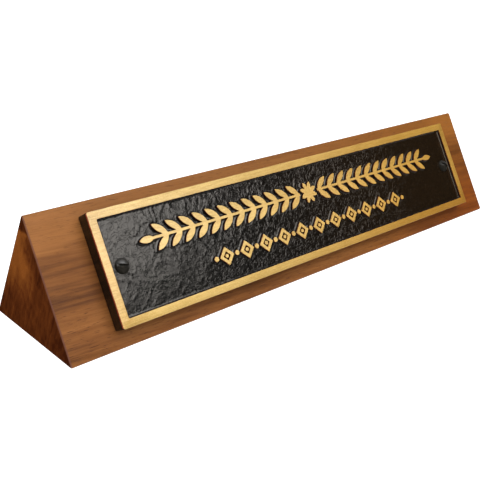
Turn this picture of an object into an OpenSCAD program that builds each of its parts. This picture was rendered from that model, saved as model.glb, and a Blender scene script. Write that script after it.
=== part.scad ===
// Desk name-plate block: a cast bronze plate screwed to the sloping front of a three-sided walnut block.
// Millimetres, +Z up. X runs along the length, to the right for someone facing the plate, and the plate faces -Y.
// The origin is the middle of the underside, on the desk.

/* [Block] */
// Length of the walnut block
block_l = 302; // [280:1:360]
// Side of its triangular section, measured between the sharp corners
block_side = 67.4; // [64:0.5:80]
// Radius that eases the three long edges
edge_r = 1; // [0.5:0.1:2]

/* [Plate] */
// Length of the cast plate
plate_l = 254; // [230:1:270]
// Height of the plate, measured up the slope
plate_h = 51.8; // [48:0.2:54]
// Slope left bare between the block's ridge and the plate
gap_above = 7; // [4:0.1:9]
// Thickness of the casting behind the recessed field
back_t = 6.4; // [4:0.1:8]
// Height of the border and the ornament over the field
relief = 1.6; // [0.8:0.1:2.5]
// Width of the raised border
border_w = 3.75; // [2.5:0.25:5]

/* [Laurel, the upper ornament] */
// Pairs of leaves on each branch
leaf_pairs = 12; // [6:1:12]
// Length of one leaf
leaf_l = 9.4; // [7:0.1:10]
// Width of one leaf
leaf_w = 3.1; // [2:0.1:3.6]
// Angle between a leaf and its stem, in degrees
leaf_tilt = 38; // [30:1:42]

/* [Lozenge band, the lower ornament] */
// Number of lozenges
lozenges = 11; // [5:2:13]
// Width of one lozenge
lozenge_w = 8.6; // [7:0.1:9]
// Height of one lozenge
lozenge_h = 9; // [7:0.1:10]
// Width of a lozenge's outline
lozenge_line = 1.5; // [1:0.1:2]

/* [Screws] */
// Length of a screw under its head
screw_l = 19; // [16:0.5:25]
// Diameter of the domed head
head_d = 7.2; // [6.5:0.1:8]
// Height of the domed head
head_h = 2.7; // [2:0.1:3.2]
// Where the left screw's slot stopped, in degrees from the plate's length
slot_turn_left = -21; // [-90:1:90]
// Where the right screw's slot stopped
slot_turn_right = -46; // [-90:1:90]

/* [Felt] */
// Thickness of the felt sheet
felt_t = 0.8; // [0.5:0.1:2]
// How far the felt stops short of the block's flat underside
felt_inset = 2.5; // [1:0.5:5]

/* [Hidden] */
$fn = 96;

slope = 60; // every face of the block meets the next at this angle
corner_reach = block_side / sqrt(3); // from the section's middle to a sharp corner
middle_z = felt_t + corner_reach / 2; // height of the section's middle over the desk
flat_w = block_side - 2 * edge_r / tan(slope / 2); // flat width left between two eased edges

// Upper ornament
laurel_y = 7.8; // its stem, above the plate's middle
laurel_reach = plate_l / 2 - 20.5; // from the middle to the tip of the last leaf
petal_reach = 5.8;
petal_root = 1.4;
petal_w = 2.2;
petals = 8;
centre_d = 3.6;
stem_w = 1.2;
stem_start = petal_reach + 1.2;
stem_end = laurel_reach - leaf_l * 0.85;
leaf_pitch = (stem_end - stem_start) / leaf_pairs;

// Lower ornament
band_y = -10.2; // its centre line, below the plate's middle
lozenge_pitch = 12.7;
bead_d = 2.4;
small_bead_d = 1.9;

// Screws
screw_x = plate_l / 2 - 9.4; // from the plate's middle to each screw
hole_d = 4.8; // clearance hole in the plate
shank_r = 2.08;
root_r = 1.45;
thread_pitch = 1.7;
tip_l = 3;
slot_w = 1.2;
slot_depth = 1.5;
head_sphere_r = (head_d * head_d / 4 + head_h * head_h) / (2 * head_h);
threads = floor((screw_l - back_t - tip_l) / thread_pitch);

margin = 1; // how far a cutter runs past what it cuts
bury = 0.5; // how deep raised work is rooted in the casting

// ---- Places ----

// Moves from the plate's own axes to the block: x along the plate, y up the slope, z out of the wood.
module on_slope() {
    plate_middle = block_side - gap_above - plate_h / 2;
    translate([0, -block_side / 2, felt_t])
        rotate([slope, 0, 0])
            translate([0, plate_middle, 0])
                children();
}

module at_screw(side) {
    translate([side * screw_x, 0, back_t]) children();
}

// ---- Block ----

// The triangular section with its corners eased, in the Y and Z of the block.
module section() {
    function eased_centre(angle) = (corner_reach - 2 * edge_r) * [cos(angle), sin(angle)];
    corners = [90, 210, 330];
    translate([0, middle_z]) {
        polygon([
            for (angle = corners, turn = [-slope, slope])
                eased_centre(angle) + edge_r * [cos(angle + turn), sin(angle + turn)]
        ]);
        for (angle = corners) translate(eased_centre(angle)) circle(edge_r);
    }
}

module wood_block() {
    color("#9a683b")
        difference() {
            rotate([90, 0, 90]) linear_extrude(block_l, center = true) section();
            on_slope() for (side = [-1, 1]) at_screw(side) screw_shank();
        }
}

// ---- Plate ----

module border() {
    difference() {
        square([plate_l, plate_h], center = true);
        square([plate_l - 2 * border_w, plate_h - 2 * border_w], center = true);
    }
}

// A leaf or petal: the lens where two equal circles overlap, from the origin along +X.
module lens(length, width) {
    arc_r = (length * length + width * width) / (4 * width);
    intersection() {
        translate([length / 2, arc_r - width / 2]) circle(arc_r, $fn = 180);
        translate([length / 2, width / 2 - arc_r]) circle(arc_r, $fn = 180);
    }
}

module rosette() {
    circle(d = centre_d);
    for (i = [0 : petals - 1])
        rotate((i + 0.5) * 360 / petals)
            translate([petal_root, 0])
                lens(petal_reach - petal_root, petal_w);
}

// One branch, from the rosette to the right, with leaves that point away from the middle.
module branch() {
    translate([stem_start, -stem_w / 2]) square([stem_end - stem_start + 1, stem_w]);
    translate([stem_end, 0]) lens(laurel_reach - stem_end, leaf_w);
    for (i = [0 : leaf_pairs - 1], side = [-1, 1])
        translate([stem_start + i * leaf_pitch, side * stem_w / 4])
            rotate(side * leaf_tilt)
                lens(leaf_l, leaf_w);
}

module laurel() {
    rosette();
    for (side = [0, 1]) mirror([side, 0]) branch();
}

// A rhombus with its middle left open, and a bead in the middle.
module lozenge() {
    half = [lozenge_w, lozenge_h] / 2;
    corners = [[half.x, 0], [0, half.y], [-half.x, 0], [0, -half.y]];
    inner = 1 - lozenge_line * norm(half) / (half.x * half.y);
    difference() {
        polygon(corners);
        polygon(inner * corners);
    }
    circle(d = small_bead_d);
}

module lozenge_band() {
    last = (lozenges - 1) / 2;
    for (i = [-last : last]) translate([i * lozenge_pitch, 0]) lozenge();
    for (i = [-last - 0.5 : last + 0.5]) translate([i * lozenge_pitch, 0]) circle(d = bead_d);
}

// Stands a flat shape up from the field to the height of the border.
module raised() {
    translate([0, 0, back_t - bury]) linear_extrude(relief + bury) children();
}

// One bronze casting: back, border and ornament, drilled for two screws.
module cast_plate() {
    on_slope()
        difference() {
            union() {
                color("#2a211b")
                    translate([-plate_l / 2, -plate_h / 2, 0]) cube([plate_l, plate_h, back_t]);
                color("#d8ac55") {
                    raised() border();
                    raised() translate([0, laurel_y]) laurel();
                    raised() translate([0, band_y]) lozenge_band();
                }
            }
            for (side = [-1, 1])
                at_screw(side)
                    translate([0, 0, -back_t - margin]) cylinder(d = hole_d, h = back_t + 2 * margin);
        }
}

// ---- Screws ----

// The shank below the head, with its thread as rings at the real pitch, down to a point.
module screw_shank() {
    function ring(i) = [
        [root_r, -back_t - (i + 0.15) * thread_pitch],
        [root_r, -back_t - (i + 0.65) * thread_pitch],
        [shank_r, -back_t - (i + 0.95) * thread_pitch]
    ];
    rotate_extrude()
        polygon(concat(
            [[0, 0], [shank_r, 0], [shank_r, -back_t]],
            [for (i = [0 : threads - 1]) each ring(i)],
            [[root_r, -back_t - (threads + 0.1) * thread_pitch], [root_r, tip_l - screw_l], [0, -screw_l]]
        ));
}

module screw(slot_turn) {
    difference() {
        intersection() {
            translate([0, 0, head_h - head_sphere_r]) sphere(head_sphere_r);
            cylinder(d = head_d, h = head_h + margin);
        }
        rotate(slot_turn)
            translate([-head_d, -slot_w / 2, head_h - slot_depth])
                cube([2 * head_d, slot_w, slot_depth + margin]);
    }
    screw_shank();
}

module screw_left() {
    color("#26241f") on_slope() at_screw(-1) screw(slot_turn_left);
}

module screw_right() {
    color("#26241f") on_slope() at_screw(1) screw(slot_turn_right);
}

// ---- Felt ----

module felt_base() {
    felt_l = block_l - 2 * felt_inset;
    felt_w = flat_w - 2 * felt_inset;
    color("#1d1c1b") translate([-felt_l / 2, -felt_w / 2, 0]) cube([felt_l, felt_w, felt_t]);
}

wood_block();
cast_plate();
screw_left();
screw_right();
felt_base();
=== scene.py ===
"""Desk name-plate block: meshes and materials for the walnut block, cast plate, screws and felt."""
import math

import bmesh
import bpy
import numpy as np
from mathutils import Matrix, Quaternion, Vector, noise
from mathutils.geometry import delaunay_2d_cdt

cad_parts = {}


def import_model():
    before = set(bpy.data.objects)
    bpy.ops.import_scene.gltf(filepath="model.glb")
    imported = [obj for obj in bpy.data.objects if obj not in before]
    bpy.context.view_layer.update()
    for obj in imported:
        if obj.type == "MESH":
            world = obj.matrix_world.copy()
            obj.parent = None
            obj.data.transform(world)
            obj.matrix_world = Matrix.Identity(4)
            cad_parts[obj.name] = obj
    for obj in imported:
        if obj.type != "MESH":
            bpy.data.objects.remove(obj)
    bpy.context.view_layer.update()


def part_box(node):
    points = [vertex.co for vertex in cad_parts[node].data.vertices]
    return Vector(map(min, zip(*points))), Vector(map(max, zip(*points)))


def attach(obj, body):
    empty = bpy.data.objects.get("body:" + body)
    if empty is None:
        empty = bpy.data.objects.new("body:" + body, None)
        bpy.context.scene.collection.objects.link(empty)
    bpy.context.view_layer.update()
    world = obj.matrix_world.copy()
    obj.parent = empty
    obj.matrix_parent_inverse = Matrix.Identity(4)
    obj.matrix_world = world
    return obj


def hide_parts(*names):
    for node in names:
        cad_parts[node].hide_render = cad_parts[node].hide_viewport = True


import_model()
noise.seed_set(4)  # noise_vector would follow the clock

MM = 0.001
TAU = math.tau


def box_mm(cad_node):
    low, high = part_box(cad_node)
    return np.array(low) / MM, np.array(high) / MM


# ---- Sizes, in millimetres ----

SLOPE = math.radians(60)  # every face of the block meets the next at this angle
EDGE_R = 1.0  # radius on the block's long edges
END_R = 0.85  # radius round its two ends

block_low, block_high = box_mm("wood_block")
corner_reach = (block_high[2] - block_low[2] + EDGE_R) / 1.5  # section's middle to a sharp corner
section_middle = np.array([0, block_low[2] + corner_reach / 2])

# The plate's height and thickness follow from the box that it fills on its slope.
plate_low, plate_high = box_mm("cast_plate")
plate_l = plate_high[0] - plate_low[0]
box_depth, box_height = (plate_high - plate_low)[1:]
steepness = math.sin(SLOPE) ** 2 - math.cos(SLOPE) ** 2
plate_h = (box_height * math.sin(SLOPE) - box_depth * math.cos(SLOPE)) / steepness
plate_t = (box_depth * math.sin(SLOPE) - box_height * math.cos(SLOPE)) / steepness
up_slope = np.array([0, math.cos(SLOPE), math.sin(SLOPE)])
out_of_slope = np.array([0, -math.sin(SLOPE), math.cos(SLOPE)])
plate_foot = np.array([0, plate_low[1] + plate_t * math.sin(SLOPE), plate_low[2]])
plate_origin = plate_foot + up_slope * plate_h / 2  # the plate's middle, on the wood

RELIEF = 1.6  # height of border and ornament over the field
field_w = plate_t - RELIEF  # height of the field over the wood
BORDER_W = 3.75
HOLE_R = 2.4  # clearance hole for a screw

screw_low, screw_high = box_mm("screw_right")
screw_x = (screw_low[0] + screw_high[0]) / 2
head_r = (screw_high[0] - screw_low[0]) / 2


# ---- Meshes ----

SHADING_EDGE = math.radians(30)  # faces that meet at more than this are shaded as an edge
EASED_EDGE = math.radians(40)  # edges sharper than this can be bevelled


def add(name, data):
    """A new object in the scene."""
    made = bpy.data.objects.new(name, data)
    bpy.context.scene.collection.objects.link(made)
    return made


def make_piece(name, cad_node, points, faces, material, place=Matrix.Identity(4)):
    """A piece from points in millimetres, which rides on the part and stands for one CAD node."""
    mesh = bpy.data.meshes.new(name)
    mesh.from_pydata([place @ Vector(point) * MM for point in points], [], faces)
    mesh.validate()
    mesh.polygons.foreach_set("use_smooth", [True] * len(mesh.polygons))
    mesh.set_sharp_from_angle(angle=SHADING_EDGE)
    mesh.materials.append(material)
    piece = add(name, mesh)
    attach(piece, "root")
    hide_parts(cad_node)
    return piece


def bridge(lower, upper):
    """Quads between two closed loops with the same number of vertices."""
    count = len(lower)
    return [(lower[i], lower[(i + 1) % count], upper[(i + 1) % count], upper[i]) for i in range(count)]


def box_mesh(size):
    """A box round the origin, in millimetres, for cutting."""
    cutter = bmesh.new()
    bmesh.ops.create_cube(cutter, size=1)
    bmesh.ops.scale(cutter, vec=size, verts=cutter.verts)
    mesh = bpy.data.meshes.new("cutter")
    cutter.to_mesh(mesh)
    cutter.free()
    return mesh


def cut(piece, mesh):
    """Takes a closed mesh, in metres, away from a piece."""
    cutter = add("cutter", mesh)
    modifier = piece.modifiers.new("cut", "BOOLEAN")
    modifier.operation = "DIFFERENCE"
    modifier.solver = "EXACT"
    modifier.object = cutter
    bpy.context.view_layer.update()
    result = bpy.data.meshes.new_from_object(piece.evaluated_get(bpy.context.evaluated_depsgraph_get()))
    piece.modifiers.clear()
    result.set_sharp_from_angle(angle=SHADING_EDGE)
    piece.data = result
    bpy.data.objects.remove(cutter)


def ease_edges(piece, width, chosen):
    """Bevels the sharp edges whose middles are chosen."""
    shape = bmesh.new()
    shape.from_mesh(piece.data)
    sharp = [
        edge for edge in shape.edges
        if len(edge.link_faces) == 2
        and edge.calc_face_angle() > EASED_EDGE
        and chosen((edge.verts[0].co + edge.verts[1].co) / 2)
    ]
    bmesh.ops.bevel(
        shape, geom=sharp, offset=width, segments=2, profile=0.5, affect="EDGES", clamp_overlap=True
    )
    shape.to_mesh(piece.data)
    shape.free()
    piece.data.set_sharp_from_angle(angle=EASED_EDGE)


class Loops:
    """Grows one closed mesh out of loops of vertices."""

    def __init__(self):
        self.points = []
        self.faces = []

    def loop(self, points):
        start = len(self.points)
        self.points.extend(points)
        return list(range(start, len(self.points)))

    def skin(self, loops):
        for lower, upper in zip(loops, loops[1:]):
            self.faces += bridge(lower, upper)

    def fan(self, loop, centre, flip=False):
        middle = self.loop([centre])[0]
        for a, b in zip(loop, loop[1:] + loop[:1]):
            self.faces.append((b, a, middle) if flip else (a, b, middle))


def heading(angle):
    """The unit vector at an angle."""
    return np.array([math.cos(angle), math.sin(angle)])


def plate_matrix():
    """From the plate's own axes (along, up the slope, out of the wood) to the part's, in millimetres."""
    columns = [Vector((1, 0, 0)), Vector(up_slope), Vector(out_of_slope)]
    matrix = Matrix([[column[row] for column in columns] for row in range(3)]).to_4x4()
    matrix.translation = Vector(plate_origin)
    return matrix


# ---- Ornament, as distances in millimetres: below 0 inside a shape ----

def disc(x, y, radius):
    return np.hypot(x, y) - radius


def bar(x, y, half_x, half_y):
    over_x = np.abs(x) - half_x
    over_y = np.abs(y) - half_y
    outside = np.hypot(np.maximum(over_x, 0), np.maximum(over_y, 0))
    return outside + np.minimum(np.maximum(over_x, over_y), 0)


def lens(x, y, length, width):
    """A leaf or petal from the origin along +X, where two equal circles overlap."""
    radius = (length ** 2 + width ** 2) / (4 * width)
    offset = radius - width / 2
    along = np.abs(x - length / 2)
    across = np.abs(y)
    past_tip = (along - length / 2) * offset > across * length / 2
    return np.where(past_tip, np.hypot(across, along - length / 2), np.hypot(across + offset, along) - radius)


def rhombus(x, y, half_x, half_y):
    x = np.abs(x)
    y = np.abs(y)
    t = np.clip(((half_x - x) * half_x + y * half_y) / (half_x ** 2 + half_y ** 2), 0, 1)
    distance = np.hypot(x - half_x * (1 - t), y - half_y * t)
    return np.where(half_y * x + half_x * y < half_x * half_y, -distance, distance)


def turned(x, y, angle):
    return x * math.cos(angle) + y * math.sin(angle), y * math.cos(angle) - x * math.sin(angle)


LAUREL_Y = 7.8  # its stem, above the plate's middle
LAUREL_REACH = 106.5  # from the middle to the tip of the last leaf
LEAF_PAIRS = 12
LEAF_L = 9.4
LEAF_W = 3.1
LEAF_TILT = math.radians(38)
STEM_W = 1.2
PETALS = 8
PETAL_REACH = 5.8
PETAL_ROOT = 1.4
PETAL_W = 2.2
CENTRE_D = 3.6
BAND_Y = -10.2  # its centre line, below the plate's middle
LOZENGES = 11
LOZENGE_W = 8.6
LOZENGE_H = 9.0
LOZENGE_LINE = 1.5
LOZENGE_PITCH = 12.7
BEAD_D = 2.4
SMALL_BEAD_D = 1.9
INNER_CORNER_R = 0.6  # inside the border's corners


def laurel(x, y):
    """The upper ornament: two branches of leaves with a rosette between them."""
    x = np.abs(x)
    y = np.abs(y)
    stem_start = PETAL_REACH + STEM_W
    stem_end = LAUREL_REACH - LEAF_L * 0.85
    pitch = (stem_end - stem_start) / LEAF_PAIRS
    distance = bar(x - (stem_start + stem_end) / 2, y, (stem_end - stem_start) / 2 + 0.5, STEM_W / 2)
    distance = np.minimum(distance, lens(x - stem_end, y, LAUREL_REACH - stem_end, LEAF_W))
    for i in range(LEAF_PAIRS):
        leaf = lens(*turned(x - stem_start - i * pitch, y - STEM_W / 4, LEAF_TILT), LEAF_L, LEAF_W)
        distance = np.minimum(distance, leaf)
    sector = TAU / PETALS
    angle = np.mod(np.arctan2(y, x), sector) - sector / 2
    reach = np.hypot(x, y)
    petal = lens(reach * np.cos(angle) - PETAL_ROOT, reach * np.sin(angle), PETAL_REACH - PETAL_ROOT, PETAL_W)
    return np.minimum(distance, np.minimum(petal, disc(x, y, CENTRE_D / 2)))


def lozenge_band(x, y):
    """The lower ornament: open lozenges with beads in them and between them."""
    last = (LOZENGES - 1) // 2
    near = x - LOZENGE_PITCH * np.clip(np.round(x / LOZENGE_PITCH), -last, last)
    half_w = LOZENGE_W / 2
    half_h = LOZENGE_H / 2
    inner = 1 - LOZENGE_LINE * math.hypot(half_w, half_h) / (half_w * half_h)
    ring = np.maximum(rhombus(near, y, half_w, half_h), -rhombus(near, y, half_w * inner, half_h * inner))
    gap = x - LOZENGE_PITCH * (np.clip(np.round(x / LOZENGE_PITCH - 0.5), -last - 1, last) + 0.5)
    beads = np.minimum(disc(near, y, SMALL_BEAD_D / 2), disc(gap, y, BEAD_D / 2))
    return np.minimum(ring, beads)


def border(x, y):
    half_x = plate_l / 2 - BORDER_W - INNER_CORNER_R
    half_y = plate_h / 2 - BORDER_W - INNER_CORNER_R
    return INNER_CORNER_R - bar(x, y, half_x, half_y)


def raised_work(x, y):
    return np.minimum(border(x, y), np.minimum(laurel(x, y - LAUREL_Y), lozenge_band(x, y - BAND_Y)))


# ---- Plate ----

# From the top edge of the raised work outwards: distance, and height over the field.
WALL = [(0.0, RELIEF), (0.24, 0.50), (0.42, 0.17), (0.78, 0.0)]
WALL_FOOT = WALL[-1][0]
CONTOUR_CELL = 0.2  # grid on which the ornament's outlines are found
CONTOUR_STEP = 0.34  # between the points of an outline
FIELD_STEP = 0.48  # between the points of the field
FIELD_JITTER = 0.18
CLEAR_OF_WALL = 0.25  # the field's points keep this far from a wall's foot
CLEAR_OF_HOLE = 0.3
WALL_FADE = 0.6  # the creases reach their full height this far from a wall
HOLE_FADE = 0.8
TOP_EASE = 0.25  # how far the sanded top edge is eased
CORNER_R = 0.9  # on the plate's four corners
OUTLINE_STEP = 0.9


def from_hole(x, y):
    """Distance from the axis of the nearer screw hole."""
    return np.hypot(np.abs(x) - screw_x, y)


def in_hole(x, y):
    """Whether a triangle with its middle here fills part of a screw hole, which is a polygon."""
    return from_hole(x, y) <= HOLE_R * 0.99


def ring_edges(start, count):
    """Edges that join a run of points into a loop."""
    return [(start + i, start + (i + 1) % count) for i in range(count)]


def crossings(distance, level):
    """Where the lines of a grid cross a level, and which crossings one cell joins."""
    inside = distance < level
    across = inside[:, :-1] != inside[:, 1:]
    upwards = inside[:-1] != inside[1:]
    across_id = np.full(across.shape, -1)
    upwards_id = np.full(upwards.shape, -1)
    across_id[across] = np.arange(across.sum())
    upwards_id[upwards] = across.sum() + np.arange(upwards.sum())
    row, column = np.nonzero(across)
    share = (level - distance[row, column]) / (distance[row, column + 1] - distance[row, column])
    points = [np.stack([column + share, row], 1)]
    row, column = np.nonzero(upwards)
    share = (level - distance[row, column]) / (distance[row + 1, column] - distance[row, column])
    points.append(np.stack([column, row + share], 1))
    sides = np.stack([across_id[:-1], across_id[1:], upwards_id[:, :-1], upwards_id[:, 1:]])
    count = (sides >= 0).sum(0)
    two = sides[:, count == 2]
    links = [np.stack([two.max(0), two.sum(0) + 2 - two.max(0)], 1)]
    four = sides[:, count == 4]
    links += [four[[0, 2]].T, four[[1, 3]].T]
    return np.concatenate(points), np.concatenate(links)


def closed_loops(points, links):
    """Chains the links into loops of points."""
    neighbours = [[] for _ in points]
    for a, b in links.tolist():
        neighbours[a].append(b)
        neighbours[b].append(a)
    seen = [False] * len(points)
    for start in range(len(points)):
        if seen[start] or len(neighbours[start]) != 2:
            continue
        chain = [start]
        seen[start] = True
        step = neighbours[start][0]
        while not seen[step]:
            seen[step] = True
            chain.append(step)
            a, b = neighbours[step]
            step = b if seen[a] else a
        yield points[chain]


def respaced(loop, spacing):
    """The same closed loop with evenly spaced points, or nothing when it is too small."""
    closed = np.vstack([loop, loop[:1]])
    travelled = np.concatenate([[0], np.cumsum(np.hypot(*np.diff(closed, axis=0).T))])
    count = round(travelled[-1] / spacing)
    if count < 6:
        return None
    at = np.arange(count) * travelled[-1] / count
    return np.stack([np.interp(at, travelled, closed[:, axis]) for axis in range(2)], 1)


def rounded_rectangle(half_x, half_y, radius, spacing):
    """Points anticlockwise round a rectangle with round corners."""
    corner_steps = 6
    outline = []
    for quarter in range(4):
        centre = np.array([half_x - radius, half_y - radius]) * ([1, 1], [-1, 1], [-1, -1], [1, -1])[quarter]
        for i in range(corner_steps + 1):
            angle = TAU / 4 * (quarter + i / corner_steps)
            outline.append(centre + radius * heading(angle))
        straight = 2 * (half_x - radius if quarter % 2 == 0 else half_y - radius)
        count = round(straight / spacing)
        direction = np.array([-math.sin(angle), math.cos(angle)])
        for i in range(1, count):
            outline.append(outline[-1] + direction * straight / count)
    return np.array(outline)


def fade(value, start, end):
    """0 at the start, 1 at the end, and held between them."""
    return min(1.0, max(0.0, (value - start) / (end - start)))


def leather(x, y):
    """Height of the creased black coat at a point of the field."""
    warp = noise.noise_vector(Vector((x * 0.09, y * 0.09, 2.0))) * 1.3
    spot = Vector((x * 0.16, y * 0.13, 0)) + warp
    crease = 1 - abs(noise.noise(spot))
    fold = 1 - abs(noise.noise(spot * 2.2 + Vector((4.0, 9.0, 1.0))))
    pebble = noise.noise(Vector((x * 0.55, y * 0.45, 5.0)) + warp * 2)
    swell = noise.noise(Vector((x * 0.09, y * 0.09, 7.0)))
    patch = noise.noise(Vector((x * 0.035, y * 0.05, 11.0)))
    middle = fade(x, -80, -30)
    right = fade(x, 30, 80)
    lower_left = fade(x, -25, -65) * fade(y, 6, -6)
    lower_middle = middle * fade(y, 2, -10)
    busy = min(1.0, max(0.2, 0.75 + 1.3 * patch)) * (1 - 0.7 * right)
    busy *= (1 - 0.6 * lower_left) * (1 - 0.35 * lower_middle)
    creases = (0.11 + 0.09 * middle) * (crease ** 5 - 0.3)
    folds = (0.07 + 0.07 * middle) * (fold ** 5 - 0.3)
    return busy * (creases + folds + (0.03 + 0.03 * middle) * pebble) + 0.06 * swell


def circle(centre, radius, count):
    angles = [TAU * i / count for i in range(count)]
    return [(centre + radius * math.cos(angle), radius * math.sin(angle)) for angle in angles]


def field_points():
    """A loose grid over the plate, clear of walls and holes."""
    random = np.random.default_rng(4)
    columns = np.arange(-plate_l / 2, plate_l / 2, FIELD_STEP)
    rows = np.arange(-plate_h / 2, plate_h / 2, FIELD_STEP)
    grid = np.stack(np.meshgrid(columns, rows), 2).reshape(-1, 2)
    grid = grid + random.uniform(-FIELD_JITTER, FIELD_JITTER, grid.shape)
    clear = raised_work(*grid.T) > WALL_FOOT + CLEAR_OF_WALL
    clear &= from_hole(*grid.T) > HOLE_R + CLEAR_OF_HOLE
    return grid[clear]


def plate_front(outline, holes):
    """The plate's front as points with heights, its triangles, and where each outline point went."""
    xs = np.arange(-plate_l / 2 - CONTOUR_CELL, plate_l / 2 + 2 * CONTOUR_CELL, CONTOUR_CELL)
    ys = np.arange(-plate_h / 2 - CONTOUR_CELL, plate_h / 2 + 2 * CONTOUR_CELL, CONTOUR_CELL)
    distance = raised_work(*np.meshgrid(xs, ys))
    points = []
    heights = []
    edges = []

    def add_loop(loop, height):
        edges.extend(ring_edges(len(points), len(loop)))
        points.extend(map(tuple, loop))
        heights.extend([height] * len(loop))

    add_loop(outline, RELIEF)
    for hole in holes:
        add_loop(hole, 0.0)
    for reach, height in WALL:
        crossed, links = crossings(distance, reach)
        crossed = crossed * CONTOUR_CELL + np.array([xs[0], ys[0]])
        for loop in closed_loops(crossed, links):
            loop = respaced(loop, CONTOUR_STEP)
            if loop is not None:
                add_loop(loop, height)
    fixed = len(points)
    points.extend(map(tuple, field_points()))

    found, _, triangles, origin, _, _ = delaunay_2d_cdt([Vector(p) for p in points], edges, [], 0, 1e-5, True)
    xy = np.array([tuple(p) for p in found])
    reach = raised_work(*xy.T)
    rise = np.interp(reach, [wall[0] for wall in WALL], [wall[1] for wall in WALL])
    for i, sources in enumerate(origin):
        if sources and min(sources) < fixed:
            rise[i] = heights[min(sources)]
    for i in np.nonzero(reach > WALL_FOOT)[0]:
        near_wall = (reach[i] - WALL_FOOT) / WALL_FADE
        near_hole = abs(from_hole(*xy[i]) - HOLE_R) / HOLE_FADE
        rise[i] += min(1.0, near_wall, near_hole) * leather(*xy[i])
    filled = in_hole(*xy[np.array(triangles)].mean(1).T)
    triangles = [triangle for triangle, hidden in zip(triangles, filled) if not hidden]
    placed = {source: i for i, sources in enumerate(origin) for source in sources}
    front = [(x, y, field_w + z) for (x, y), z in zip(xy, rise)]
    return front, triangles, placed


def plate_back(outline, outline_ids, holes, hole_ids):
    """Triangles for the flat back, between the plate's outline and its two holes."""
    points = []
    edges = []
    for loop in [outline, *holes]:
        edges += ring_edges(len(points), len(loop))
        points += [tuple(point) for point in loop]
    ids = outline_ids + hole_ids
    _, _, triangles, origin, _, _ = delaunay_2d_cdt([Vector(p) for p in points], edges, [], 0, 1e-5, True)
    for triangle in triangles:
        corners = [origin[i][0] for i in triangle]
        if not in_hole(*np.mean([points[i] for i in corners], 0)):
            yield tuple(ids[i] for i in reversed(corners))


def cast_plate(material):
    """The bronze casting: front with border and ornament, sides, back, and two screw holes."""
    shell = Loops()
    holes = [circle(side * screw_x, HOLE_R, 32) for side in (-1, 1)]

    def outline(inset):
        return rounded_rectangle(plate_l / 2 - inset, plate_h / 2 - inset, CORNER_R - inset, OUTLINE_STEP)

    front, triangles, placed = plate_front(outline(TOP_EASE), holes)
    shell.loop(front)
    shell.faces += triangles
    count = len(outline(TOP_EASE))
    rim = [placed[i] for i in range(count)]
    # Down the side to the back: inset of the outline, and height over the wood.
    sides = [(0.08, plate_t - 0.05), (0, plate_t - 0.2), (0, plate_t / 2), (0, 0.3), (0.2, 0)]
    rings = [rim] + [shell.loop([(x, y, height) for x, y in outline(inset)]) for inset, height in sides]
    shell.skin([ring[::-1] for ring in rings])
    hole_ids = []
    for hole in holes:
        top = [placed[count + i] for i in range(len(hole))]
        count += len(hole)
        bottom = shell.loop([(x, y, 0) for x, y in hole])
        shell.skin([top, bottom])
        hole_ids += bottom
    shell.faces += plate_back(outline(sides[-1][0]), rings[-1], holes, hole_ids)
    place = plate_matrix()
    return make_piece("bronze_plate", "cast_plate", shell.points, shell.faces, material, place)


# ---- Block ----

def section(inset):
    """The block's triangular outline with round corners, in Y and Z."""
    arc_steps = 8
    flat_steps = 14
    arcs = []
    for corner in (90, 210, 330):
        corner_angle = math.radians(corner)
        centre = section_middle + (corner_reach - 2 * EDGE_R) * heading(corner_angle)
        arcs.append([
            centre + (EDGE_R - inset) * heading(corner_angle + math.radians(-60 + 120 * i / arc_steps))
            for i in range(arc_steps + 1)
        ])
    outline = []
    for arc, next_arc in zip(arcs, arcs[1:] + arcs[:1]):
        flat = next_arc[0] - arc[-1]
        outline += arc
        outline += [arc[-1] + flat * i / flat_steps for i in range(1, flat_steps)]
    return outline


def wood_block(material):
    """The block with its long edges and its ends eased, and two blind holes for the screws."""
    shell = Loops()
    round_steps = 6
    length_steps = 30
    end_round = []
    for i in range(round_steps + 1):
        angle = TAU / 4 * i / round_steps
        end_round.append((block_low[0] + END_R * (1 - math.cos(angle)), END_R * (1 - math.sin(angle))))
    start = end_round[-1][0]
    middle = [(start - 2 * start * i / length_steps, 0) for i in range(1, length_steps)]
    stations = end_round + middle + [(-x, inset) for x, inset in reversed(end_round)]
    rings = [shell.loop([(x, y, z) for y, z in section(inset)]) for x, inset in stations]
    shell.skin(rings)
    for ring, x, flip in ((rings[0], stations[0][0], False), (rings[-1], stations[-1][0], True)):
        for share in (0.8, 0.5, 0.2):
            shrunk = [section_middle + share * (point - section_middle) for point in section(END_R)]
            inner = shell.loop([(x, y, z) for y, z in shrunk])
            shell.skin([inner, ring] if not flip else [ring, inner])
            ring = inner
        shell.fan(ring, (x, *section_middle), flip=not flip)
    piece = make_piece("walnut_block", "wood_block", shell.points, shell.faces, material)
    for side in (-1, 1):
        cut(piece, screw_hole(side))
    return piece


def screw_hole(side):
    """The rod to drill out of the block for a screw, a little wider and longer than its shank."""
    radius = SHANK_R + 0.05
    depth = SCREW_L - field_w + 0.3
    rod = bmesh.new()
    bmesh.ops.create_cone(rod, cap_ends=True, segments=24, radius1=radius, radius2=radius, depth=2 * depth)
    mesh = bpy.data.meshes.new("hole")
    rod.to_mesh(mesh)
    rod.free()
    mesh.transform(Matrix.Scale(MM, 4) @ plate_matrix() @ Matrix.Translation((side * screw_x, 0, 0)))
    return mesh


# ---- Screws ----

HEAD_H = 2.7
SLOT_W = 1.2
SLOT_DEPTH = 1.5
SLOT_EASE = 0.07
SHANK_R = 2.08
ROOT_R = 1.45  # between the turns of the thread
THREAD_PITCH = 1.7
CREST = 0.3  # half of a crest's width, as a share of the pitch
RUN_IN = 0.8  # length over which the thread grows to its full height
TIP_L = 3.0
SCREW_L = 19.0  # under the head


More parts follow.
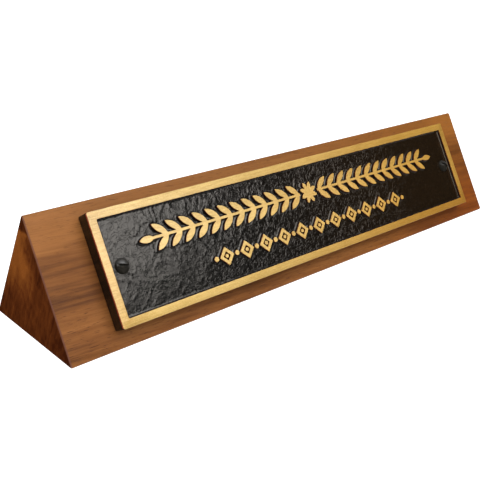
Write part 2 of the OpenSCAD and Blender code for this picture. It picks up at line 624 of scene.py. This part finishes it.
def dome_height(distance):
    """Height of the dome at a distance from the screw's axis."""
    sphere_r = (head_r ** 2 + HEAD_H ** 2) / (2 * HEAD_H)
    return HEAD_H - sphere_r + math.sqrt(max(sphere_r ** 2 - distance ** 2, 0))


def thread_radius(angle, depth):
    """Radius of the threaded part at an angle and a depth under the head."""
    threaded = depth - field_w
    turn = (threaded / THREAD_PITCH - angle / TAU) % 1
    crest = max(0.0, 1 - abs(turn - 0.5) / CREST)
    body = ROOT_R + (SHANK_R - ROOT_R) * crest * min(1.0, threaded / RUN_IN)
    taper = min(1.0, (SCREW_L - depth) / TIP_L)
    return body * taper


def screw(name, cad_node, side, slot_turn, material):
    """A round-head wood screw: slotted dome, plain shank, helical thread and point."""
    around = 48
    dome_steps = 14
    thread_steps = 90
    shell = Loops()

    def ring(height, radius):
        angles = [TAU * i / around for i in range(around)]
        return shell.loop([(radius(a) * math.cos(a), radius(a) * math.sin(a), height) for a in angles])

    def round_ring(height, radius):
        return ring(height, lambda angle: radius)

    reaches = [head_r * math.sin(TAU / 4 * i / dome_steps) for i in range(1, dome_steps + 1)]
    rings = [round_ring(dome_height(reach), reach) for reach in reaches[:-1]]
    rings += [round_ring(0.12, head_r), round_ring(0.0, head_r - 0.1), round_ring(0.0, SHANK_R)]
    rings.append(round_ring(-field_w, SHANK_R))
    for i in range(1, thread_steps):
        depth = field_w + (SCREW_L - field_w) * i / thread_steps
        rings.append(ring(-depth, lambda angle: thread_radius(angle, depth)))
    shell.skin(rings)
    shell.fan(rings[0], (0, 0, HEAD_H), flip=True)
    shell.fan(rings[-1], (0, 0, -SCREW_L))

    place = plate_matrix() @ Matrix.Translation((side * screw_x, 0, field_w))
    piece = make_piece(name, cad_node, shell.points, shell.faces, material, place)
    slot = box_mesh((4 * head_r, SLOT_W, 2 * SLOT_DEPTH))
    slot_place = place @ Matrix.Translation((0, 0, HEAD_H)) @ Matrix.Rotation(slot_turn, 4, "Z")
    slot.transform(Matrix.Scale(MM, 4) @ slot_place)
    cut(piece, slot)
    above_rim = (place @ Vector((0, 0, 0.3))) * MM
    ease_edges(piece, SLOT_EASE * MM, lambda point: (point - above_rim).dot(Vector(out_of_slope)) > 0)
    return piece


# ---- Felt ----

def felt_base(material):
    """The felt sheet, with a slightly loose edge."""
    low, high = box_mm("felt_base")
    outline = rounded_rectangle(high[0], high[1], 0.8, 1.5)
    shell = Loops()

    def felt_ring(inset, z):
        shrink = (high[:2] - inset) / high[:2]
        ring = []
        for x, y in outline:
            loose = 0.06 * (1 + abs(noise.noise(Vector((x, y, z * 2)))))
            ring.append(((x - loose * np.sign(x)) * shrink[0], (y - 0.06 * np.sign(y)) * shrink[1], z))
        return shell.loop(ring)

    rings = [felt_ring(inset, z) for inset, z in ((0.25, low[2]), (0.05, 0.2), (0, 0.5), (0.1, high[2]))]
    shell.skin(rings)
    shell.faces.append(tuple(rings[0][::-1]))
    shell.faces.append(tuple(rings[-1]))
    return make_piece("felt_sheet", "felt_base", shell.points, shell.faces, material)


# ---- Materials ----

def node(tree, kind, inputs=None, **settings):
    """A new shader node, with its sockets linked or set."""
    made = tree.nodes.new(kind)
    for key, value in settings.items():
        setattr(made, key, value)
    for key, value in (inputs or {}).items():
        if isinstance(value, bpy.types.NodeSocket):
            tree.links.new(value, made.inputs[key])
        else:
            made.inputs[key].default_value = value
    return made


def object_mm(tree, location=(0, 0, 0), rotation=(0, 0, 0)):
    """A point's place in millimetres, turned and moved."""
    coordinates = node(tree, "ShaderNodeTexCoord").outputs["Object"]
    in_mm = stretched(tree, coordinates, (1 / MM,) * 3)
    mapping = {"Vector": in_mm, "Location": location, "Rotation": rotation}
    return node(tree, "ShaderNodeMapping", mapping).outputs[0]


def stretched(tree, vector, scale):
    return node(tree, "ShaderNodeMapping", {"Vector": vector, "Scale": scale}).outputs[0]


def axes_of(tree, vector):
    return node(tree, "ShaderNodeSeparateXYZ", {0: vector}).outputs


def face_normal(tree):
    return axes_of(tree, node(tree, "ShaderNodeNewGeometry").outputs["True Normal"])


def noise_map(tree, vector, scale=1.0, detail=4.0, roughness=0.55, distortion=0.0):
    inputs = {"Vector": vector, "Scale": scale, "Detail": detail, "Roughness": roughness}
    return node(tree, "ShaderNodeTexNoise", {**inputs, "Distortion": distortion}).outputs["Fac"]


def between(tree, value, low, high, to_low=0.0, to_high=1.0, smooth=True):
    """The value moved from one range to another, and held inside it."""
    inputs = {"Value": value, "From Min": low, "From Max": high, "To Min": to_low, "To Max": to_high}
    kind = "SMOOTHSTEP" if smooth else "LINEAR"
    return node(tree, "ShaderNodeMapRange", inputs, interpolation_type=kind).outputs["Result"]


def calculate(tree, operation, a, b=0.5, c=0.5):
    return node(tree, "ShaderNodeMath", {0: a, 1: b, 2: c}, operation=operation).outputs[0]


def times(tree, a, b):
    return calculate(tree, "MULTIPLY", a, b)


def plus(tree, a, b):
    return calculate(tree, "ADD", a, b)


def times_plus(tree, a, b, c):
    return calculate(tree, "MULTIPLY_ADD", a, b, c)


def blended(tree, share, a, b, blend_type="MIX"):
    made = node(tree, "ShaderNodeMix", {0: share, 6: a, 7: b}, data_type="RGBA", blend_type=blend_type)
    return made.outputs[2]


def tinted(tree, share, colour, tint):
    """The colour multiplied by a tint, as far as the share goes."""
    return blended(tree, share, colour, tint, "MULTIPLY")


def ramp(tree, value, stops):
    """A colour for each value, from stops of position and colour."""
    made = node(tree, "ShaderNodeValToRGB", {"Fac": value})
    elements = made.color_ramp.elements
    while len(elements) < len(stops):
        elements.new(0.5)
    for element, (position, colour) in zip(elements, stops):
        element.position = position
        element.color = (*colour, 1)
    return made.outputs["Color"]


def bump(tree, height, distance_mm, strength=1.0):
    inputs = {"Height": height, "Distance": distance_mm * MM, "Strength": strength}
    return node(tree, "ShaderNodeBump", inputs).outputs["Normal"]


def new_material(name):
    material = bpy.data.materials.new(name)
    material.use_nodes = True
    return material, material.node_tree, material.node_tree.nodes["Principled BSDF"]


def plug(tree, surface, sockets):
    """Links or sets the surface shader's sockets."""
    for key, value in sockets.items():
        if isinstance(value, bpy.types.NodeSocket):
            tree.links.new(value, surface.inputs[key])
        else:
            surface.inputs[key].default_value = value


def growth_rings(tree, warp):
    """Uneven rings round an axis near X, from 0 to 1."""
    axes = axes_of(tree, object_mm(tree, (0, -72, 26), (0, -0.035, 0.04)))
    across = node(tree, "ShaderNodeCombineXYZ", {1: axes["Y"], 2: axes["Z"]}).outputs[0]
    reach = node(tree, "ShaderNodeVectorMath", {0: across}, operation="LENGTH").outputs["Value"]
    ring_pitch = 9.0
    wave = calculate(tree, "SINE", times(tree, times_plus(tree, warp, 34.0, reach), TAU / ring_pitch))
    return between(tree, wave, -1, 1)


def long_grain(tree, place, rings, streaks, fibres, pores):
    """Walnut's colour along the grain, with painted light and shade: lighter towards the ridge and near the
    bottom edge, darker at the upper left, and darker and redder towards the lower right and the right end.
    """
    axes = axes_of(tree, place)
    along = axes["X"]
    height = axes["Z"]
    broad = noise_map(tree, stretched(tree, place, (0.006, 0.045, 0.045)), detail=3, distortion=0.6)
    tone = times_plus(tree, rings, 0.12, times(tree, broad, 0.5))
    tone = times_plus(tree, streaks, 0.62, plus(tree, tone, -0.09))
    # Painted light: lighter towards the ridge, and lighter near the bottom edge to lift the shade there.
    tone = plus(tree, tone, between(tree, height, 34, 54, 0.0, 0.25))
    tone = plus(tree, tone, between(tree, height, 3, 18, 0.08, 0.0))
    # Painted shade: darker at the upper left of the front.
    upper_left_shade = times(tree, between(tree, along, -150, -105, 1.0, 0.0), between(tree, height, 12, 30))
    tone = times_plus(tree, upper_left_shade, -0.06, tone)
    colour = ramp(tree, tone, [
        (0.36, (0.080, 0.027, 0.006)), (0.54, (0.168, 0.060, 0.014)), (0.76, (0.255, 0.100, 0.026))
    ])
    colour = blended(tree, between(tree, fibres, 0.35, 0.75, 0.0, 0.30), colour, (0.11, 0.037, 0.008, 1))
    dark_pores = times(tree, pores, between(tree, height, 8, 34, 0.80, 0.42))
    colour = blended(tree, dark_pores, colour, (0.045, 0.016, 0.006, 1))
    # Painted shade: darker and redder towards the lower right, and deeper in colour towards the right end.
    lower_right_shade = times(tree, between(tree, along, 20, 150), between(tree, height, 10, 40, 1.0, 0.0))
    colour = tinted(tree, lower_right_shade, colour, (0.85, 0.62, 0.36, 1))
    return tinted(tree, between(tree, along, -40, 150), colour, (1.00, 0.92, 0.62, 1))


def end_grain(tree, place, warp, rings, pores):
    """Walnut's colour on the ends: dark red-brown, with an amber strip along the upper back edge."""
    height = axes_of(tree, place)["Z"]
    back = {0: place, 1: tuple(-out_of_slope)}
    behind = node(tree, "ShaderNodeVectorMath", back, operation="DOT_PRODUCT").outputs["Value"]
    depth = plus(tree, behind, float(out_of_slope.dot(plate_origin)))  # behind the front face
    upper_back = times_plus(tree, warp, 16.0, times_plus(tree, height, 0.6, depth))
    amber = times(tree, between(tree, upper_back, 35, 45), between(tree, height, 16, 36))
    veins_place = stretched(tree, object_mm(tree, rotation=(-0.42, 0, 0)), (0.03, 0.45, 0.08))
    veins = noise_map(tree, veins_place, detail=4, distortion=0.8)
    tone = times_plus(tree, veins, 0.75, times_plus(tree, rings, 0.08, 0.07))
    tone = times_plus(tree, amber, 0.46, tone)
    tone = plus(tree, tone, between(tree, height, 50.2, 52.2, 0.0, -0.60))
    tone = plus(tree, tone, between(tree, depth, 3, 14, -0.12, 0.0))
    # Painted shade: darker towards the bottom of the ends.
    tone = plus(tree, tone, between(tree, height, 4, 26, -0.13, 0.0))
    colour = ramp(tree, tone, [
        (0.20, (0.045, 0.010, 0.003)), (0.50, (0.102, 0.026, 0.006)), (0.95, (0.230, 0.069, 0.013))
    ])
    return blended(tree, times(tree, pores, 0.5), colour, (0.03, 0.009, 0.003, 1))


def walnut():
    """Oiled walnut: uneven rings round an axis along X, streaks, short open pores, and darker end grain."""
    material, tree, surface = new_material("walnut")
    place = object_mm(tree)
    grain_place = object_mm(tree, rotation=(0, -0.055, 0.035))
    warp = noise_map(tree, stretched(tree, place, (0.005, 0.06, 0.06)), detail=3, roughness=0.6)
    rings = growth_rings(tree, warp)
    streaks_place = stretched(tree, grain_place, (0.03, 0.6, 0.6))
    streaks = noise_map(tree, streaks_place, detail=6, roughness=0.65, distortion=0.3)
    fibres = noise_map(tree, stretched(tree, grain_place, (0.08, 3.0, 3.0)), detail=4, roughness=0.7)
    pores = noise_map(tree, stretched(tree, grain_place, (0.22, 2.8, 2.8)), detail=2)
    pores = between(tree, pores, 0.60, 0.70)

    facing_end = calculate(tree, "ABSOLUTE", face_normal(tree)["X"])
    on_end = between(tree, facing_end, 0.80, 0.97)
    off_end = between(tree, facing_end, 0.80, 0.97, 1.0, 0.0)
    on_edge = times(tree, between(tree, facing_end, 0.15, 0.45), off_end)
    colour = long_grain(tree, place, rings, streaks, fibres, pores)
    colour = blended(tree, on_end, colour, end_grain(tree, place, warp, rings, pores))
    colour = blended(tree, times(tree, on_edge, 0.8), colour, (0.125, 0.050, 0.034, 1))
    relief = calculate(tree, "SUBTRACT", times(tree, fibres, 0.25), pores)
    plug(tree, surface, {
        "Base Color": colour,
        "Roughness": between(tree, streaks, 0.3, 0.7, 0.42, 0.55),
        "Normal": bump(tree, relief, 0.06, 0.6),
        "Specular IOR Level": between(tree, facing_end, 0.80, 0.97, 0.13, 0.0),
    })
    return material


def bare_bronze(tree, place, axes, brushed, rightward_shade_and_tint):
    """Colour of the sanded tops, with painted light and shade: paler towards the upper left, darker and
    browner at the right, lighter and bluer low and in the middle, darker at the top, at the lower right and
    on the left bar.
    """
    along = axes["X"]
    across = axes["Y"]
    specks = noise_map(tree, place, 1.6, 3, 0.7)
    blotches = noise_map(tree, place, 0.06, 3)
    metal = ramp(tree, blotches, [(0.3, (0.64, 0.43, 0.135)), (0.7, (0.74, 0.515, 0.18))])
    metal = blended(tree, between(tree, brushed, 0.40, 0.68, 0.0, 0.42), metal, (0.50, 0.30, 0.07, 1))
    metal = blended(tree, between(tree, specks, 0.46, 0.70, 0.0, 0.55), metal, (0.82, 0.62, 0.26, 1))
    # Painted shade: darker and browner towards the right.
    metal = tinted(tree, rightward_shade_and_tint, metal, (0.96, 0.81, 0.45, 1))
    # Painted light and shade up the slope: lighter and bluer low and in the middle, darker at the top.
    painted_light_across = ramp(tree, between(tree, across, -26, 26, smooth=False), [
        (0.10, (1.07, 1.10, 1.14)), (0.60, (1.06, 1.10, 1.24)), (0.90, (0.87, 0.89, 0.92))
    ])
    metal = tinted(tree, 1.0, metal, painted_light_across)
    # Painted shade: darker at the lower right.
    low = between(tree, across, -24, -8, 1.0, 0.0)
    low_right_shade = times(tree, between(tree, along, -60, 125, smooth=False), low)
    metal = tinted(tree, low_right_shade, metal, (0.76, 0.66, 0.48, 1))
    # Painted shade: darker on the left bar.
    return tinted(tree, between(tree, along, -125, -108, 1.0, 0.0), metal, (0.87, 0.82, 0.76, 1))


def black_coat(tree, place, axes, rightward_shade_and_tint):
    """Colour of the field and the sides: black, browner at the right, and copper where an edge is worn."""
    tarnish = noise_map(tree, place, 0.5, 4, 0.65)
    cold_black = ramp(tree, tarnish, [(0.3, (0.0015, 0.0015, 0.0015)), (0.75, (0.005, 0.0045, 0.0035))])
    warm_black = ramp(tree, tarnish, [(0.3, (0.006, 0.003, 0.001)), (0.75, (0.013, 0.007, 0.0025))])
    coat = blended(tree, rightward_shade_and_tint, cold_black, warm_black)
    wall_top = times(tree, between(tree, axes["Z"], plate_t - 0.55, plate_t - 0.18), 0.6)
    from_middle = calculate(tree, "ABSOLUTE", axes["X"])
    side_top = between(tree, from_middle, plate_l / 2 - 0.15, plate_l / 2 - 0.05)
    side_top = times(tree, side_top, between(tree, axes["Z"], plate_t - 1.2, plate_t - 0.5))
    rubbed_edge = calculate(tree, "MAXIMUM", wall_top, side_top)
    return blended(tree, rubbed_edge, coat, (0.34, 0.055, 0.030, 1))


def wrinkled(tree, place, axes, grain):
    """Height of the coat's fine wrinkles, busiest in the middle of the field."""
    folds = noise_map(tree, place, 0.40, 1.5, 0.5, 0.9)
    folds = between(tree, calculate(tree, "ABSOLUTE", plus(tree, folds, -0.5)), 0.0, 0.07, 1.0, 0.0)
    busy = between(tree, axes["X"], -95, -30, 0.40, 1.0)
    busy = times(tree, busy, between(tree, axes["X"], 40, 90, 1.0, 0.35))
    return times_plus(tree, grain, 0.15, times(tree, folds, times(tree, busy, 1.8)))


def bronze():
    """Cast bronze: sanded, lacquered tops, and a black leathery coat on the field and the sides."""
    material, tree, surface = new_material("cast_bronze")
    back = -Vector(plate_origin).dot(Vector(out_of_slope))
    down = -Vector(plate_origin).dot(Vector(up_slope))
    place = object_mm(tree, (0, down, back), (-SLOPE, 0, 0))  # in the plate's own axes
    axes = axes_of(tree, place)
    bare = between(tree, axes["Z"], plate_t - 0.16, plate_t - 0.07)
    # Painted shade on the tops, darker and browner towards the right; the same share makes the field browner
    # there and tints the reflections.
    rightward_shade_and_tint = between(tree, axes["X"], -75, 110)
    brushed = noise_map(tree, stretched(tree, place, (0.09, 1.5, 1.0)), detail=5, roughness=0.75)
    grain = noise_map(tree, place, 3.2, 3, 0.6)
    metal = bare_bronze(tree, place, axes, brushed, rightward_shade_and_tint)
    coat = black_coat(tree, place, axes, rightward_shade_and_tint)
    coat_rough = between(tree, grain, 0.3, 0.7, 0.14, 0.20)
    metal_rough = between(tree, brushed, 0.3, 0.7, 0.58, 0.74)
    sheen = blended(tree, rightward_shade_and_tint, (1.0, 0.94, 0.87, 1), (1.0, 0.84, 0.66, 1))
    relief = blended(tree, bare, wrinkled(tree, place, axes, grain), times(tree, brushed, 0.9))
    plug(tree, surface, {
        "Base Color": blended(tree, bare, coat, metal),
        "Metallic": bare,
        "Roughness": blended(tree, bare, coat_rough, metal_rough),
        "Normal": bump(tree, relief, 0.05, 0.7),
        "Specular Tint": blended(tree, bare, sheen, (1.0, 1.0, 1.0, 1)),
        "Coat Weight": bare,
        "Coat Roughness": 0.24,
    })
    return material


def black_paint():
    """Satin black paint on steel, with painted shade: it reflects less in the slot and other hollows, on the
    lower side of the heads and on the right-hand screw.
    """
    material, tree, surface = new_material("screw_paint")
    place = object_mm(tree)
    mottle = noise_map(tree, place, 1.4, 4, 0.6)
    grain = noise_map(tree, place, 6.0, 3)
    open_sky = node(tree, "ShaderNodeAmbientOcclusion", {"Distance": 1.2 * MM}, samples=8).outputs["AO"]
    # Painted shade: less reflection in hollows that ambient occlusion finds, on the lower side of the heads
    # and on the right-hand screw.
    outside_painted_shade = between(tree, open_sky, 0.55, 0.88)
    outside_painted_shade = times(tree, outside_painted_shade, between(tree, face_normal(tree)["Z"], 0.38, 0.66, 0.12, 1.0))
    outside_painted_shade = times(tree, outside_painted_shade, between(tree, axes_of(tree, place)["X"], -50, 50, 1.0, 0.45))
    plug(tree, surface, {
        "Base Color": ramp(tree, mottle, [(0.35, (0.008, 0.0075, 0.006)), (0.7, (0.022, 0.019, 0.014))]),
        "Roughness": between(tree, grain, 0.3, 0.7, 0.42, 0.52),
        "Specular IOR Level": between(tree, outside_painted_shade, 0.0, 1.0, 0.03, 0.85),
        "Normal": bump(tree, grain, 0.03, 0.6),
    })
    return material


def felt_cloth():
    """Pressed black wool felt."""
    material, tree, surface = new_material("black_felt")
    place = object_mm(tree)
    hairs = noise_map(tree, place, 2.2, 6, 0.75, 1.5)
    lumps = noise_map(tree, place, 0.25, 3)
    mottle = times(tree, plus(tree, hairs, lumps), 0.5)
    plug(tree, surface, {
        "Base Color": ramp(tree, mottle, [(0.35, (0.010, 0.010, 0.010)), (0.7, (0.038, 0.036, 0.035))]),
        "Roughness": 0.95,
        "Sheen Weight": 0.3,
        "Normal": bump(tree, hairs, 0.25, 0.8),
    })
    return material


# ---- Scene ----

EYE = Vector((-281.1, -277.2, 172.4)) * MM
VIEW = Vector((0.6194, 0.6835, -0.3862))  # the way the camera looks
ROLL = math.radians(1.34)
LENS_MM = 57.65


def camera():
    data = bpy.data.cameras.new("camera")
    data.lens = LENS_MM
    data.sensor_width = 36
    data.clip_start = 0.01
    eye = add("camera", data)
    eye.rotation_mode = "QUATERNION"
    eye.rotation_quaternion = VIEW.to_track_quat("-Z", "Y") @ Quaternion((0, 0, 1), ROLL)
    eye.location = EYE
    bpy.context.scene.camera = eye


def softbox(name, azimuth, elevation, distance, size, watts):
    """An area light, in metres, that faces the object from an azimuth to the right of its front."""
    data = bpy.data.lights.new(name, "AREA")
    data.shape = "RECTANGLE"
    data.size, data.size_y = size
    data.energy = watts
    light = add(name, data)
    a = math.radians(azimuth)
    e = math.radians(elevation)
    direction = Vector((math.sin(a) * math.cos(e), -math.cos(a) * math.cos(e), math.sin(e)))
    light.location = direction * distance
    light.rotation_mode = "QUATERNION"
    light.rotation_quaternion = (-direction).to_track_quat("-Z", "Y")


def white_studio(name, points, faces, noise_scale, dark, light):
    """A plain surface that glows enough to look white, and doesn't show in reflections."""
    material, tree, surface = new_material(name)
    tone = noise_map(tree, object_mm(tree), noise_scale, 3)
    plug(tree, surface, {
        "Base Color": ramp(tree, tone, [(0.3, (dark,) * 3), (0.7, (light,) * 3)]),
        "Roughness": 0.9,
        "Emission Color": (1, 1, 1, 1),
        "Emission Strength": 1.3,
    })
    mesh = bpy.data.meshes.new(name)
    mesh.from_pydata(points, [], faces)
    mesh.materials.append(material)
    made = add(name, mesh)
    made.visible_glossy = False
    return made


def floor():
    half = 8.0
    corners = [(-half, -half, 0), (half, -half, 0), (half, half, 0), (-half, half, 0)]
    white_studio("floor", corners, [(0, 1, 2, 3)], 0.02, 0.24, 0.27)


def backdrop():
    """A wall round the floor that only the camera sees, so the horizon stays white."""
    sides = 48
    radius = 7.5
    wall_h = 9.0
    points = [(x, y, z) for z in (-0.01, wall_h) for x, y in circle(0, radius, sides)]
    faces = [(i, sides + i, sides + (i + 1) % sides, (i + 1) % sides) for i in range(sides)]
    wall = white_studio("backdrop", points, faces, 0.01, 0.78, 0.80)
    wall.visible_diffuse = False
    wall.visible_transmission = False
    wall.visible_shadow = False


def world():
    """Light from all round: bright overhead, dim at the horizon, and grey below, where a desk would be."""
    made = bpy.data.worlds.new("world")
    made.use_nodes = True
    tree = made.node_tree
    up = axes_of(tree, node(tree, "ShaderNodeTexCoord").outputs["Generated"])["Z"]
    sky = ramp(tree, between(tree, up, -1, 1, smooth=False), [
        (0.46, (0.8, 0.8, 0.8)), (0.52, (0.03, 0.03, 0.03)), (0.72, (0.03, 0.03, 0.03)),
        (0.88, (0.45, 0.45, 0.45)), (1.0, (0.6, 0.6, 0.6))
    ])
    tree.links.new(sky, tree.nodes["Background"].inputs["Color"])
    bpy.context.scene.world = made


bpy.context.scene.view_settings.view_transform = "Standard"
camera()
world()
floor()
backdrop()
softbox("main_light", 15, 45, 1.6, (1.15, 1.0), 16)
softbox("top_light", 0, 74, 1.2, (1.1, 0.8), 5.5)
softbox("side_light", -35, 45, 0.7, (0.4, 0.4), 1.3)

wood_block(walnut())
cast_plate(bronze())
paint = black_paint()
screw("left_screw", "screw_left", -1, math.radians(-21), paint)
screw("right_screw", "screw_right", 1, math.radians(-46), paint)
felt_base(felt_cloth())
